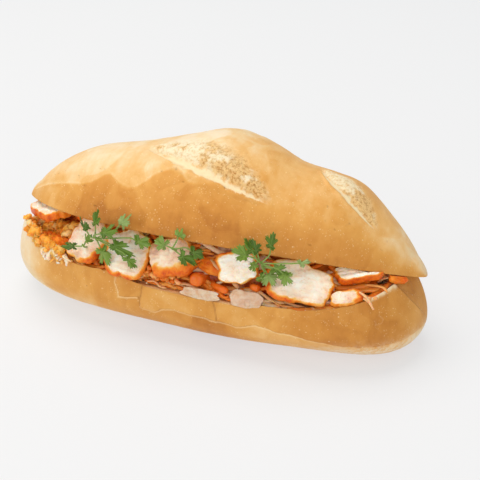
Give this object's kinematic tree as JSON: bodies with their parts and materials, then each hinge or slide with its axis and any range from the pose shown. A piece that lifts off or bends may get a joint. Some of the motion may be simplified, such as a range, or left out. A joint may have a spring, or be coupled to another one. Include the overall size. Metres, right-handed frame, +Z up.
{
  "type": "banh mi sandwich",
  "caption": "Short crisp roll slit along its front and hinged at the back, filled with sliced chicken, pickle strips and cilantro.",
  "frame": {"origin": "centre of the bounding box at its lowest face, where the roll rests", "axes": "+X along the roll, -Y out of the open slit, +Z up"},
  "size_m": [0.2106, 0.0918, 0.0923],
  "materials": {
    "crust": "dry baked crust",
    "pickle": "moist carrot and daikon",
    "chicken": "moist cooked meat",
    "chicken_skin": "moist orange-red skin",
    "daikon": "moist and translucent",
    "cilantro": "fresh leaf"
  },
  "bodies": {
    "root": {"roll": "crust", "pickle_heap": "pickle", "shredded_chicken": "chicken_skin", "daikon_slice_1": "daikon", "daikon_slice_2": "daikon", "chicken_slice_01": "chicken", "chicken_slice_02": "chicken", "chicken_slice_03": "chicken", "chicken_slice_04": "chicken", "chicken_slice_05": "chicken", "chicken_slice_06": "chicken", "chicken_slice_07": "chicken", "chicken_slice_08": "chicken", "chicken_slice_09": "chicken", "chicken_slice_10": "chicken", "chicken_slice_11": "chicken", "chicken_slice_12": "chicken", "chicken_slice_13": "chicken", "cilantro_sprig_1": "cilantro", "cilantro_sprig_2": "cilantro", "cilantro_sprig_3": "cilantro", "cilantro_sprig_4": "cilantro"}
  },
  "joints": []
}
